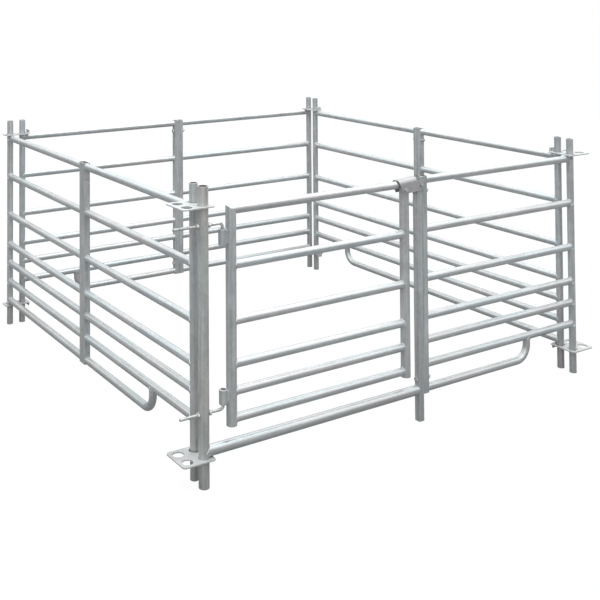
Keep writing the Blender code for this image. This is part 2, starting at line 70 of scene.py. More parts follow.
# Fasteners
THREAD_PITCH = 0.00175
THREAD_DEPTH = 0.0006
THREAD_SIDES = 18
THREAD_STEPS = 6             # rings in one turn of thread
TIP_LENGTH = 0.0008          # tapered end of a bolt or rod
TIP_SHARE = 0.8              # its end, as a share of the rod's radius
HEX_SIDES = 36
HEX_CHAMFER = 0.55
MID_HEAD = 0.0075            # thickness of the mid bolts' heads
NUT_BORE_R = 0.0062
PIVOT_HEAD = 0.0065
PIVOT_R = 0.005
PIVOT_NUT_PLAY = 0.0002
PINTLE_BEND_R = 0.016
PINTLE_BEND_STEPS = 12
PINTLE_THREAD_PAST = 0.018   # the pintle's thread runs this far past the hinge post
STUD_SHELL = 0.0004          # the stud's outer rim lies within this of the saddle's frontmost point
STUD_DOME = 0.0022           # height of the domed head over it
STUD_ROOT = 0.0032           # the head reaches this far back round the stud
STUD_PROFILE = ((0.45, 1.06), (0.8, 0.8), (1.0, 0.4))   # shares of the dome's height and the stud's radius

# Plates
PLATE_BEVEL = 0.0007

# Studio
CEILING_LIGHT = 1.9
ROOM_LIGHT = 0.36
CEILING_FROM = 0.22          # sine of the height above the horizon where the ceiling begins
CEILING_FULL = 0.50
FLOOR_REFLECTED = (0.20, 0.20, 0.20)
FLOOR_WHITE = 0.93
FLOOR_SHADOW = 0.05
FLOOR_HALF = 40.0
LAMPS = (("overhead", (0.5, -0.5, 6.0), 7.0, 260.0),        # name, place, size, power
         ("front_fill", (-5.0, -6.0, 3.5), 4.0, 40.0))
LAMP_TARGET = Vector((0, 0, 0.5))

# Camera, at the photographer's standpoint
STANDPOINT = (-3.0026, -4.3053, 1.9157)
STANDPOINT_REACH = 0.02      # the lens shift is gone this far from it
LENS_MM = 58.85
SENSOR_MM = 36.0
HEADING = 0.54035            # radians, from +Y towards +X
TILT = 0.02943
ROLL = -0.00445
LENS_SHIFT = (("shift_x", 0.1668), ("shift_y", -0.5752))

UP = Vector((0, 0, 1))
SIDEWAYS = Vector((0, 1, 0))

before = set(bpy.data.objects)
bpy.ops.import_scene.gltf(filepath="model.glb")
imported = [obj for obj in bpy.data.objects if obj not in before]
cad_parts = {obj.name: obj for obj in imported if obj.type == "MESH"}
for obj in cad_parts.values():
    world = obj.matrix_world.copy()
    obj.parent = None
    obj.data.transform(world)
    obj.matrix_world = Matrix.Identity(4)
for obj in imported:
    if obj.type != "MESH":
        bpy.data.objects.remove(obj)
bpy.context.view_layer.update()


# ---------------------------------------------------------------- places taken from the frame

def centre(node):
    low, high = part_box(node)
    return (low + high) / 2


def extent(node):
    low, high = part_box(node)
    return high - low


TUBE_R = extent("left_loop_corner_tube").x / 2
POST_R = extent("hinge_post").x / 2
GATE_RAIL_Z = [centre(f"gate_rail_{i}").z for i in range(1, 7)]
RAIL_Z = [z + GATE_DROP for z in GATE_RAIL_Z] + [centre("threshold_bar").z]
UPRIGHT = extent("gate_post").y
STILE_R = extent("gate_hinge_stile").x / 2
BOLT_R = extent("upper_pintle").y / 2


# ---------------------------------------------------------------- mesh building

class Form:
    """Points and faces of one piece while it is being built."""

    def __init__(self):
        self.points = []
        self.faces = []
        self.slots = []

    def ring(self, points):
        first = len(self.points)
        self.points.extend(points)
        return list(range(first, len(self.points)))

    def face(self, corners, slot=0):
        self.faces.append(corners)
        self.slots.append(slot)

    def skin(self, rings, slot=0, closed=False):
        """Quads between neighbouring rings; closed joins the last ring to the first."""
        pairs = list(zip(rings, rings[1:]))
        if closed:
            pairs.append((rings[-1], rings[0]))
        for a, b in pairs:
            count = len(a)
            for i in range(count):
                j = (i + 1) % count
                self.face((a[i], a[j], b[j], b[i]), slot)

    def solid(self, rings, slot=0):
        """A closed skin with both ends capped."""
        self.skin(rings, slot)
        self.face(tuple(reversed(rings[0])), slot)
        self.face(tuple(rings[-1]), slot)

    def build(self, name, materials, sharp=35):
        mesh = bpy.data.meshes.new(name)
        mesh.from_pydata([tuple(p) for p in self.points], [], self.faces)
        for material in materials:
            mesh.materials.append(material)
        mesh.polygons.foreach_set("material_index", self.slots)
        outward(mesh)
        mesh.shade_smooth()
        mesh.set_sharp_from_angle(angle=math.radians(sharp))
        obj = bpy.data.objects.new(name, mesh)
        bpy.context.scene.collection.objects.link(obj)
        return obj


def outward(mesh):
    bm = bmesh.new()
    bm.from_mesh(mesh)
    bmesh.ops.recalc_face_normals(bm, faces=bm.faces)
    bm.to_mesh(mesh)
    bm.free()


def circle(radius, sides=TUBE_SIDES):
    turns = [2 * math.pi * i / sides for i in range(sides)]
    return [(radius * math.cos(t), radius * math.sin(t)) for t in turns]


def arc(middle, radius, start, end, steps):
    turns = [math.radians(start + (end - start) * i / steps) for i in range(steps + 1)]
    return [(middle[0] + radius * math.cos(t), middle[1] + radius * math.sin(t)) for t in turns]


def rounded_box(half_x, half_y, radius, steps=4):
    points = []
    for sx, sy, start in ((1, 1, 0), (-1, 1, 90), (-1, -1, 180), (1, -1, 270)):
        middle = (sx * (half_x - radius), sy * (half_y - radius))
        points += arc(middle, radius, start, start + 90, steps)
    return points


def scaled(outline, step):
    """The outline moved inward by about step, towards its middle."""
    reach = max(math.hypot(x, y) for x, y in outline)
    share = 1 - step / reach
    return [(x * share, y * share) for x, y in outline]


def cope(radius, tube_r, angle):
    """How far from a tube's axis a coped end of this radius meets the tube's wall."""
    return math.sqrt(max(tube_r ** 2 - (radius * math.cos(angle)) ** 2, 0.0))


def onto_tube(angle):
    return cope(TUBE_R, TUBE_R, angle)


def onto_post(angle):
    return cope(POST_R, POST_R, angle)


def onto_stile(angle):
    return cope(TUBE_R, STILE_R, angle)


def mitre(angle):
    return STILE_R * math.sin(angle)


def against_face(angle):
    """A bead on a flat face lies just inside the bar's end."""
    return -0.0005


def frames_along(path):
    """Direction and across vector at each point of a path that keeps a constant Y."""
    result = []
    for i, point in enumerate(path):
        before = (path[i] - path[i - 1]).normalized() if i else None
        after = (path[i + 1] - path[i]).normalized() if i + 1 < len(path) else None
        if before is None or after is None:
            along, stretch = (before or after), 1.0
        else:
            along = (before + after).normalized()
            stretch = 1.0 / along.dot(after)
        result.append((point, along, SIDEWAYS.cross(along) * stretch))
    return result


def sweep(form, path, radius, sides=TUBE_SIDES, start_at=None, end_at=None, slot=0):
    """Round bar along a path; start_at and end_at say how far in the end lies at each angle."""
    rings = []
    stations = frames_along([Vector(p) for p in path])
    for number, (point, along, across) in enumerate(stations):
        points = []
        for i in range(sides):
            angle = 2 * math.pi * i / sides
            place = point + SIDEWAYS * (radius * math.cos(angle)) + across * (radius * math.sin(angle))
            if number == 0 and start_at:
                place += along * start_at(angle)
            if number == len(stations) - 1 and end_at:
                place -= along * end_at(angle)
            points.append(place)
        rings.append(form.ring(points))
    form.solid(rings, slot)


def bead(form, middle, along, radius, reach_at, slot=1, size=BEAD_R, seed=0.0):
    """Weld bead round a bar: reach_at(angle) is how far along the bar the joint lies."""
    across = SIDEWAYS.cross(along)
    rings = []
    for i in range(TUBE_SIDES):
        angle = 2 * math.pi * i / TUBE_SIDES
        outward_way = SIDEWAYS * math.cos(angle) + across * math.sin(angle)
        point = middle + outward_way * radius + along * reach_at(angle)
        ripple = noise.noise(point * BEAD_GRAIN + Vector((seed, seed, seed)))
        thick = size * (1 + BEAD_WOBBLE * ripple)
        points = []
        for k in range(BEAD_SIDES):
            turn = 2 * math.pi * k / BEAD_SIDES
            points.append(point + outward_way * (thick * math.cos(turn)) + along * (thick * math.sin(turn)))
        rings.append(form.ring(points))
    form.skin(rings, slot, closed=True)


def straight_bead(form, low, high, size=BEAD_R, slot=1):
    """Weld bead along a vertical line."""
    rings = []
    for i in range(BEAD_STEPS + 1):
        point = low.lerp(high, i / BEAD_STEPS)
        end = BEAD_TAPER if i in (0, BEAD_STEPS) else 1.0
        thick = size * end * (1 + BEAD_WOBBLE * noise.noise(point * BEAD_GRAIN))
        rings.append(form.ring([point + Vector((x, y, 0)) for x, y in circle(thick, BEAD_SIDES)]))
    form.solid(rings, slot)


def hollow_column(form, outer, inner, low, high, shift=0.0, slot=0, bore_slot=0):
    """Upright bar with a bore, open at both ends, its outer rims slightly rounded."""
    def level(outline, z):
        return form.ring([Vector((x + shift, y, z)) for x, y in outline])
    eased = scaled(outer, RIM_BEVEL)
    inside_top, inside_bottom = level(inner, high), level(inner, low)
    form.skin([inside_bottom, level(eased, low), level(outer, low + RIM_BEVEL),
               level(outer, high - RIM_BEVEL), level(eased, high), inside_top], slot)
    # The bore's faces take their own slot, which gets the dark zinc with painted shade.
    form.skin([inside_top, inside_bottom], bore_slot)


# ---------------------------------------------------------------- surfaces

def node_at(tree, kind, x, y, **settings):
    made = tree.nodes.new(kind)
    made.location = (x, y)
    for key, value in settings.items():
        setattr(made, key, value)
    return made


def zinc(name, dark, light, rough, metal=0.6, stretch=(1, 1, 1), spangle=70.0, bottom_darkening=0.35, bump=0.25):
    """Galvanised steel: zinc spangle, cloudy patches, run marks along the bar, darker in patches towards
    the bottom.
    """
    material = bpy.data.materials.new(name)
    material.use_nodes = True
    tree = material.node_tree
    link = tree.links.new
    shader = tree.nodes["Principled BSDF"]
    shader.inputs["Metallic"].default_value = metal

    coords = node_at(tree, "ShaderNodeTexCoord", -1500, 0)
    chance = node_at(tree, "ShaderNodeObjectInfo", -1500, -300)
    shift = node_at(tree, "ShaderNodeVectorMath", -1300, 0, operation="MULTIPLY_ADD")
    shift.inputs[1].default_value = (1, 1, 1)
    link(coords.outputs["Object"], shift.inputs[0])
    link(chance.outputs["Random"], shift.inputs[2])

    flow = node_at(tree, "ShaderNodeVectorMath", -1100, 200, operation="MULTIPLY")
    flow.inputs[1].default_value = stretch
    link(shift.outputs[0], flow.inputs[0])

    runs = node_at(tree, "ShaderNodeTexNoise", -900, 250)
    runs.inputs["Scale"].default_value = 85.0
    runs.inputs["Detail"].default_value = 5.0
    runs.inputs["Roughness"].default_value = 0.62
    link(flow.outputs[0], runs.inputs["Vector"])

    clouds = node_at(tree, "ShaderNodeTexNoise", -900, 0)
    clouds.inputs["Scale"].default_value = 14.0
    clouds.inputs["Detail"].default_value = 4.0
    link(shift.outputs[0], clouds.inputs["Vector"])

    flakes = node_at(tree, "ShaderNodeTexVoronoi", -900, -250, feature="F1")
    flakes.inputs["Scale"].default_value = spangle
    flakes.inputs["Randomness"].default_value = 1.0
    link(shift.outputs[0], flakes.inputs["Vector"])
    flake_tone = node_at(tree, "ShaderNodeSeparateColor", -700, -250)
    link(flakes.outputs["Color"], flake_tone.inputs[0])

    first = node_at(tree, "ShaderNodeMix", -600, 150, data_type="FLOAT")
    first.inputs["Factor"].default_value = 0.30
    link(runs.outputs["Fac"], first.inputs["A"])
    link(clouds.outputs["Fac"], first.inputs["B"])
    second = node_at(tree, "ShaderNodeMix", -400, 100, data_type="FLOAT")
    second.inputs["Factor"].default_value = 0.07
    link(first.outputs["Result"], second.inputs["A"])
    link(flake_tone.outputs[0], second.inputs["B"])

    tones = node_at(tree, "ShaderNodeValToRGB", -200, 150)
    tones.color_ramp.elements[0].position = 0.34
    tones.color_ramp.elements[0].color = (*dark, 1)
    tones.color_ramp.elements[1].position = 0.66
    tones.color_ramp.elements[1].color = (*light, 1)
    link(second.outputs["Result"], tones.inputs["Fac"])

    # Darker in patches over the lowest 0.42 m, towards a dark brown at the ground.
    place = node_at(tree, "ShaderNodeNewGeometry", -900, -500)
    height = node_at(tree, "ShaderNodeSeparateXYZ", -700, -500)
    link(place.outputs["Position"], height.inputs[0])
    low_down = node_at(tree, "ShaderNodeMapRange", -500, -500)
    low_down.inputs["From Min"].default_value = 0.0
    low_down.inputs["From Max"].default_value = 0.42
    low_down.inputs["To Min"].default_value = bottom_darkening
    low_down.inputs["To Max"].default_value = 0.0
    link(height.outputs["Z"], low_down.inputs["Value"])
    patchy = node_at(tree, "ShaderNodeMath", -300, -500, operation="MULTIPLY")
    link(low_down.outputs[0], patchy.inputs[0])
    link(clouds.outputs["Fac"], patchy.inputs[1])
    darkened_low = node_at(tree, "ShaderNodeMix", 0, 100, data_type="RGBA", blend_type="MIX")
    darkened_low.inputs["B"].default_value = (0.12, 0.115, 0.10, 1)
    link(patchy.outputs[0], darkened_low.inputs["Factor"])

    tinge = node_at(tree, "ShaderNodeTexNoise", -900, 500)
    tinge.inputs["Scale"].default_value = 45.0
    tinge.inputs["Detail"].default_value = 1.0
    link(flow.outputs[0], tinge.inputs["Vector"])
    tinges = node_at(tree, "ShaderNodeValToRGB", -600, 500)
    tinges.color_ramp.elements[0].position = 0.36
    tinges.color_ramp.elements[0].color = (0.94, 1.0, 1.03, 1)
    tinges.color_ramp.elements[1].position = 0.64
    tinges.color_ramp.elements[1].color = (1.02, 0.99, 1.0, 1)
    link(tinge.outputs["Fac"], tinges.inputs["Fac"])
    tinted = node_at(tree, "ShaderNodeMix", -100, 350, data_type="RGBA", blend_type="MULTIPLY")
    tinted.inputs["Factor"].default_value = 1.0
    link(tones.outputs["Color"], tinted.inputs["A"])
    link(tinges.outputs["Color"], tinted.inputs["B"])
    link(tinted.outputs["Result"], darkened_low.inputs["A"])
    link(darkened_low.outputs["Result"], shader.inputs["Base Color"])

    gloss = node_at(tree, "ShaderNodeMapRange", -200, -150)
    gloss.inputs["From Min"].default_value = 0.3
    gloss.inputs["From Max"].default_value = 0.7
    gloss.inputs["To Min"].default_value = rough - 0.09
    gloss.inputs["To Max"].default_value = rough + 0.10
    link(second.outputs["Result"], gloss.inputs["Value"])
    link(gloss.outputs[0], shader.inputs["Roughness"])

    pits = node_at(tree, "ShaderNodeTexNoise", -500, -750)
    pits.inputs["Scale"].default_value = 420.0
    pits.inputs["Detail"].default_value = 3.0
    link(shift.outputs[0], pits.inputs["Vector"])
    relief = node_at(tree, "ShaderNodeMath", -300, -750, operation="MULTIPLY_ADD")
    relief.inputs[1].default_value = 0.35
    link(pits.outputs["Fac"], relief.inputs[0])
    link(runs.outputs["Fac"], relief.inputs[2])
    surface = node_at(tree, "ShaderNodeBump", 0, -300)
    surface.inputs["Strength"].default_value = bump
    surface.inputs["Distance"].default_value = 0.0012
    link(relief.outputs[0], surface.inputs["Height"])
    link(surface.outputs["Normal"], shader.inputs["Normal"])
    return material


ALONG_RAIL = (0.04, 1, 1)
ALONG_POST = (1, 1, 0.04)
RAIL_ZINC = zinc("zinc_rails", (0.41, 0.43, 0.43), (0.57, 0.59, 0.59), 0.34, stretch=ALONG_RAIL, bump=0.06)
POST_ZINC = zinc("zinc_posts", (0.37, 0.39, 0.39), (0.60, 0.62, 0.62), 0.42, stretch=ALONG_POST, bump=0.18)
HINGE_ZINC = zinc("zinc_hinge_post", (0.38, 0.385, 0.37), (0.60, 0.605, 0.58), 0.44,
                  stretch=ALONG_POST, bump=0.18)
WELD_ZINC = zinc("zinc_welds", (0.42, 0.44, 0.44), (0.70, 0.72, 0.72), 0.38, spangle=240.0, bump=0.5)
# Inside faces of tubes and sleeves: a dark zinc that paints in the shade deep inside the bores.
SHADED_BORE_ZINC = zinc("zinc_inside_tubes_painted_shade", (0.10, 0.105, 0.10), (0.20, 0.21, 0.205), 0.60)
PLATE_ZINC = zinc("zinc_plates", (0.42, 0.43, 0.425), (0.52, 0.53, 0.525), 0.45, metal=0.2, spangle=95.0)
SADDLE_ZINC = zinc("zinc_saddle", (0.31, 0.31, 0.31), (0.39, 0.39, 0.39), 0.55, metal=0.3, bump=0.15)
BOLT_ZINC = zinc("zinc_fasteners", (0.34, 0.35, 0.345), (0.66, 0.67, 0.66), 0.33, metal=0.6,
                 spangle=300.0, bump=0.12)


# ---------------------------------------------------------------- placing

def hang(obj, body, slot, *nodes):
    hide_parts(*nodes)
    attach(obj, body)


def set_down(obj, at, turn=0.0):
    obj.location = at
    obj.rotation_euler = (0, 0, turn)


# ---------------------------------------------------------------- half-panels

def panel_direction(rails, tube):
    """Corner tube's foot, the turn about +Z that points the panel away from it, and its length."""
    low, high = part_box(rails)
    foot = centre(tube)
    foot.z = 0
    away = (low + high) / 2 - foot
    if abs(away.x) > abs(away.y):
        turn = 0.0 if away.x > 0 else math.pi
        length = max(abs(high.x - foot.x), abs(low.x - foot.x))
    else:
        turn = math.copysign(math.pi / 2, away.y)
        length = max(abs(high.y - foot.y), abs(low.y - foot.y))
    return foot, turn, length


def add_rail(form, z, face, seed):
    """Rail from the corner tube, at x = 0, to the upright's face, welded at both ends."""
    start, end = Vector((0, 0, z)), Vector((face, 0, z))
    along = Vector((1, 0, 0))
    sweep(form, [start, (RAIL_LEAD, 0, z), (face - BAR_LEAD, 0, z), end], TUBE_R, start_at=onto_tube)
    bead(form, start, along, TUBE_R, onto_tube, seed=seed)
    bead(form, end, along, TUBE_R - FACE_BEAD_IN, against_face, size=FACE_BEAD, seed=seed + 5)


def add_loop(form, length, face):
    """Lowest rail of a loop half: out from the upright, then up into the rail above."""
    leg_x = length * (1 - LOOP_REACH)
    bend = arc((leg_x + LOOP_BEND_R, RAIL_Z[-1] + LOOP_BEND_R), LOOP_BEND_R, 270, 180, LOOP_BEND_STEPS)
    path = [(face, RAIL_Z[-1]), (face - BAR_LEAD, RAIL_Z[-1]), *bend, (leg_x, RAIL_Z[-2])]
    points = [Vector((x, 0, z)) for x, z in path]
    sweep(form, points, TUBE_R - 0.0001, end_at=onto_tube)
    bead(form, points[0], Vector((1, 0, 0)), TUBE_R - FACE_BEAD_IN, against_face, size=FACE_BEAD)
    bead(form, points[-1], Vector((0, 0, -1)), TUBE_R, onto_tube)


def square_tube(form, low, high, shift=0.0):
    inner_half = UPRIGHT / 2 - SQUARE_WALL
    hollow_column(form, rounded_box(UPRIGHT / 2, UPRIGHT / 2, SQUARE_CORNER),
                  rounded_box(inner_half, inner_half, SQUARE_CORNER - SQUARE_WALL),
                  low, high, shift, slot=2, bore_slot=3)


def build_half_panel(name, number):
    rails, tube = name + "_rails", name + "_corner_tube"
    foot, turn, length = panel_direction(rails, tube)
    low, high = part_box(rails)
    face = length - UPRIGHT
    has_loop = "loop" in name
    form = Form()
    for i, z in enumerate(RAIL_Z[:-1] if has_loop else RAIL_Z):
        add_rail(form, z, face, seed=10.0 * number + i)
    if has_loop:
        add_loop(form, length, face)
    square_tube(form, low.z, high.z, shift=face + UPRIGHT / 2)
    panel = form.build(name + "_welded_rails", [RAIL_ZINC, WELD_ZINC, POST_ZINC, SHADED_BORE_ZINC])
    set_down(panel, foot, turn)
    hang(panel, "pen", "galvanised_tube", rails)

    form = Form()
    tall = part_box(tube)[1].z
    hollow_column(form, circle(TUBE_R), circle(TUBE_R - WALL), 0.0, tall, bore_slot=1)
    column = form.build(name + "_round_tube", [POST_ZINC, SHADED_BORE_ZINC])
    set_down(column, foot, turn)
    hang(column, "pen", "galvanised_tube", tube)


# ---------------------------------------------------------------- gateway and gate

def build_hinge_post():
    low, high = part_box("hinge_post")
    form = Form()
    hollow_column(form, circle(POST_R), circle(POST_R - WALL), low.z, high.z, bore_slot=1)
    post = form.build("hinge_post_tube", [HINGE_ZINC, SHADED_BORE_ZINC])
    middle = centre("hinge_post")
    set_down(post, (middle.x, middle.y, 0))
    hang(post, "pen", "galvanised_tube", "hinge_post")


def build_threshold():
    middle = centre("hinge_post")
    z = centre("threshold_bar").z
    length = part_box("threshold_bar")[1].x - middle.x
    form = Form()
    start, end = Vector((0, 0, z)), Vector((length, 0, z))
    sweep(form, [start, (POST_LEAD, 0, z), (length - BAR_LEAD, 0, z), end], POST_R, start_at=onto_post)
    along = Vector((1, 0, 0))
    bead(form, start, along, POST_R, onto_post)
    bead(form, end, along, POST_R - BAR_BEAD_IN, against_face)
    bar = form.build("threshold_tube", [RAIL_ZINC, WELD_ZINC])
    set_down(bar, (middle.x, middle.y, 0))
    hang(bar, "pen", "galvanised_tube", "threshold_bar")


def build_gate_post():
    low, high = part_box("gate_post")
    form = Form()
    square_tube(form, low.z, high.z)
    post = form.build("gate_post_square_tube", [RAIL_ZINC, WELD_ZINC, POST_ZINC, SHADED_BORE_ZINC])
    set_down(post, ((low.x + high.x) / 2, (low.y + high.y) / 2, 0))
    hang(post, "pen", "galvanised_tube", "gate_post")


def mitred_stile(form, low, corner_z, side):
    """Gate stile, open at the foot and cut on the slant at the top rail; side is 1 at the hinges."""
    def level(outline, z):
        return form.ring([Vector((x, y, z)) for x, y in outline])

    def slanted(outline):
        return form.ring([Vector((x, y, corner_z - side * x * TUBE_R / STILE_R)) for x, y in outline])
    outer, inner = circle(STILE_R), circle(STILE_R - WALL)
    inside_bottom, inside_top = level(inner, low), slanted(inner)
    form.skin([inside_bottom, level(scaled(outer, RIM_BEVEL), low), level(outer, low + RIM_BEVEL),
               slanted(outer), inside_top])
    # The stile's bore gets the dark zinc with painted shade.
    form.skin([inside_top, inside_bottom], 1)


def sleeve_bore(form, outer, low, high):
    """Hinge sleeve: a thick tube whose bore is countersunk at both ends."""
    def level(radius, z):
        return form.ring([Vector((x, y, z)) for x, y in circle(radius)])
    bore = BOLT_R + SLEEVE_PLAY
    low_mouth, high_mouth = level(SLEEVE_MOUTH_R, low), level(SLEEVE_MOUTH_R, high)
    form.skin([low_mouth, level(outer - RIM_BEVEL, low), level(outer, low + RIM_BEVEL),
               level(outer, high - RIM_BEVEL), level(outer - RIM_BEVEL, high), high_mouth])
    # The sleeve's bore gets the dark zinc with painted shade.
    form.skin([high_mouth, level(bore, high - SLEEVE_MOUTH), level(bore, low + SLEEVE_MOUTH),
               low_mouth], 2)


def build_gate():
    for side, way in (("hinge", 1), ("latch", -1)):
        node = f"gate_{side}_stile"
        low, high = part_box(node)
        form = Form()
        mitred_stile(form, low.z, GATE_RAIL_Z[0], way)
        stile = form.build(f"gate_{side}_stile_tube", [POST_ZINC, SHADED_BORE_ZINC])
        set_down(stile, ((low.x + high.x) / 2, (low.y + high.y) / 2, 0))
        hang(stile, "gate", "galvanised_tube", node)

    left, right = centre("gate_hinge_stile"), centre("gate_latch_stile")
    width = right.x - left.x
    along = Vector((1, 0, 0))
    for i, z in enumerate(GATE_RAIL_Z, start=1):
        form = Form()
        start, end = Vector((0, 0, 0)), Vector((width, 0, 0))
        joint = mitre if i == 1 else onto_stile
        sweep(form, [start, (RAIL_LEAD, 0, 0), (width - RAIL_LEAD, 0, 0), end], TUBE_R,
              start_at=joint, end_at=joint)
        if i == 1:
            bead(form, start, along, TUBE_R, joint, size=MITRE_BEAD)
            bead(form, end, -along, TUBE_R, lambda angle: -mitre(angle), size=MITRE_BEAD)
        else:
            bead(form, start, along, TUBE_R, joint, seed=i)
            bead(form, end, -along, TUBE_R, joint, seed=i + 9)
        rail = form.build(f"gate_rail_{i}_tube", [RAIL_ZINC, WELD_ZINC])
        set_down(rail, (left.x, left.y, z))
        hang(rail, "gate", "galvanised_tube", f"gate_rail_{i}")

    for level in ("upper", "lower"):
        node = f"gate_{level}_sleeve"
        low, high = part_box(node)
        middle, outer = (low + high) / 2, (high.x - low.x) / 2
        form = Form()
        sleeve_bore(form, outer, low.z, high.z)
        touch = Vector((left.x - STILE_R - middle.x, 0, 0))
        for way in (-1, 1):
            spot = touch + Vector((0, way * SLEEVE_BEAD_APART, 0))
            foot, top = low.z + SLEEVE_BEAD_END, high.z - SLEEVE_BEAD_END
            straight_bead(form, spot + UP * foot, spot + UP * top, size=SLEEVE_BEAD)
        sleeve = form.build(f"gate_{level}_hinge_sleeve", [POST_ZINC, WELD_ZINC, SHADED_BORE_ZINC])
        set_down(sleeve, (middle.x, middle.y, 0))
        hang(sleeve, "gate", "galvanised_tube", node)


# ---------------------------------------------------------------- fasteners

def hex_reach(flats, angle):
    """Distance from the middle to a hexagon's edge."""
    turn = (angle + math.pi / 6) % (math.pi / 3) - math.pi / 6
    return flats / 2 / math.cos(turn)


def hex_ring(form, x, flats, limit=None, chamfer=0.0):
    """Ring round a hexagon at x; the limit rounds it off, the chamfer sinks its corners along x."""
    points = []
    for i in range(HEX_SIDES):
        angle = 2 * math.pi * i / HEX_SIDES
        reach = hex_reach(flats, angle)
        sunk = chamfer * (reach - flats / 2 * 0.96)
        reach = min(reach, limit) if limit else reach
        points.append(Vector((x + sunk, reach * math.sin(angle), reach * math.cos(angle))))
    return form.ring(points)


def thread_rings(form, start, end, radius):
    """Rings of a threaded bar along +X, one turn of thread per pitch."""
    steps = max(int((end - start) / THREAD_PITCH * THREAD_STEPS), 2)
    rings = []
    for number in range(steps + 1):
        x = start + (end - start) * number / steps
        fade = min(1.0, number / THREAD_STEPS, (steps - number) / THREAD_STEPS)
        points = []
        for i in range(THREAD_SIDES):
            share = i / THREAD_SIDES
            wave = abs(((x - start) / THREAD_PITCH - share) % 1.0 * 2 - 1)
            reach = radius - THREAD_DEPTH * wave * fade
            turn = 2 * math.pi * share
            points.append(Vector((x, reach * math.sin(turn), reach * math.cos(turn))))
        rings.append(form.ring(points))
    return rings


def round_ring(form, x, radius):
    turns = [2 * math.pi * i / THREAD_SIDES for i in range(THREAD_SIDES)]
    return form.ring([Vector((x, radius * math.sin(t), radius * math.cos(t))) for t in turns])


def add_bolt(form, grip, tip, radius, flats, head):
    """Bolt along +X, its head's underside at x = 0."""
    rings = [hex_ring(form, -head, flats, limit=flats / 2 * 0.93),
             hex_ring(form, -head, flats, chamfer=HEX_CHAMFER),
             hex_ring(form, -0.0006, flats),
             hex_ring(form, 0.0, flats, limit=flats / 2 * 0.97)]
    form.solid(rings)
    shank = [round_ring(form, -head / 2, radius), round_ring(form, grip, radius)]
    shank += thread_rings(form, grip + 0.0002, tip - TIP_LENGTH, radius)
    shank.append(round_ring(form, tip, radius * TIP_SHARE))
    form.solid(shank)


def add_nut(form, thick, flats, bore_r):
    """Nut along +X from x = 0, chamfered on both faces."""
    bore_in = [Vector((0, bore_r * math.sin(2 * math.pi * i / HEX_SIDES),
                       bore_r * math.cos(2 * math.pi * i / HEX_SIDES))) for i in range(HEX_SIDES)]
    bore_out = [p + Vector((thick, 0, 0)) for p in bore_in]
    rings = [form.ring(bore_in), hex_ring(form, 0.0, flats, limit=flats / 2 * 0.96),
             hex_ring(form, 0.0, flats, chamfer=HEX_CHAMFER),
             hex_ring(form, thick, flats, chamfer=-HEX_CHAMFER),
             hex_ring(form, thick, flats, limit=flats / 2 * 0.96), form.ring(bore_out)]
    form.skin(rings, closed=True)


def lengthways(node):
    """Axis a fastener lies along, 0 for X or 1 for Y, from its CAD box."""
    size = extent(node)
    return 0 if size.x > size.y else 1


def build_mid_bolt(bolt):
    nut = bolt + "_nut"
    axis = lengthways(bolt)
    bolt_low, bolt_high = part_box(bolt)
    nut_low, nut_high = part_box(nut)
    thick = nut_high[axis] - nut_low[axis]
    flats = nut_high.z - nut_low.z
    toward = 1 if centre(nut)[axis] > centre(bolt)[axis] else -1
    turn = math.pi / 2 * axis + (0 if toward > 0 else math.pi)
    head_end = bolt_low[axis] if toward > 0 else bolt_high[axis]
    nut_start = nut_low[axis] if toward > 0 else nut_high[axis]
    tip = bolt_high[axis] if toward > 0 else bolt_low[axis]
    under_head = head_end + toward * MID_HEAD
    middle = centre(bolt)

    form = Form()
    add_bolt(form, abs(nut_start - under_head), abs(tip - under_head), BOLT_R, flats, MID_HEAD)
    screw = form.build(bolt + "_hex", [BOLT_ZINC], sharp=28)
    at = Vector(middle)
    at[axis] = under_head
    set_down(screw, at, turn)
    hang(screw, "pen", "zinc_fasteners", bolt)

    form = Form()
    add_nut(form, thick, flats, NUT_BORE_R)
    collar = form.build(nut + "_hex", [BOLT_ZINC], sharp=28)
    at[axis] = nut_start
    set_down(collar, at, turn)
    hang(collar, "pen", "zinc_fasteners", nut)


def ring_across(form, middle, across, radius):
    """Ring round a rod that bends in the XZ plane, numbered as round_ring numbers its points."""
    turns = [2 * math.pi * i / THREAD_SIDES for i in range(THREAD_SIDES)]
    return form.ring([middle + SIDEWAYS * (radius * math.sin(t)) + across * (radius * math.cos(t))
                      for t in turns])


def build_pintle(level):
    node = f"{level}_pintle"
    low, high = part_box(node)
    post = centre("hinge_post")
    axis_x = centre(f"gate_{level}_sleeve").x
    points_down = level == "upper"
    z = high.z - BOLT_R if points_down else low.z + BOLT_R
    end_z = low.z if points_down else high.z
    way = -1 if points_down else 1
    form = Form()
    thread_end = post.x + POST_R + PINTLE_THREAD_PAST
    rings = [round_ring(form, low.x, BOLT_R * TIP_SHARE)]
    rings += thread_rings(form, low.x + TIP_LENGTH, thread_end, BOLT_R)
    for ring in rings:
        for i in ring:
            form.points[i] += Vector((0, post.y, z))
    bend = arc((axis_x - PINTLE_BEND_R, z + way * PINTLE_BEND_R), PINTLE_BEND_R,
               -90 * way, 0, PINTLE_BEND_STEPS)
    path = [(thread_end + 0.0005, z), *bend, (axis_x, end_z - way * 0.001)]
    for point, _, across in frames_along([Vector((x, post.y, h)) for x, h in path]):
        rings.append(ring_across(form, point, across, BOLT_R))
    tip = Vector((axis_x, post.y, end_z))
    rings.append(ring_across(form, tip, SIDEWAYS.cross(UP * way), BOLT_R * TIP_SHARE))
    form.solid(rings)
    rod = form.build(f"{level}_pintle_rod", [BOLT_ZINC], sharp=50)
    hang(rod, "pen", "zinc_fasteners", node)

    for place in ("outer", "inner"):
        nut = f"{level}_pintle_{place}_nut"
        nut_low, nut_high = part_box(nut)
        form = Form()
        add_nut(form, nut_high.x - nut_low.x, nut_high.z - nut_low.z, NUT_BORE_R)
        collar = form.build(nut + "_hex", [BOLT_ZINC], sharp=28)
        set_down(collar, (nut_low.x, post.y, centre(nut).z))
        hang(collar, "pen", "zinc_fasteners", nut)


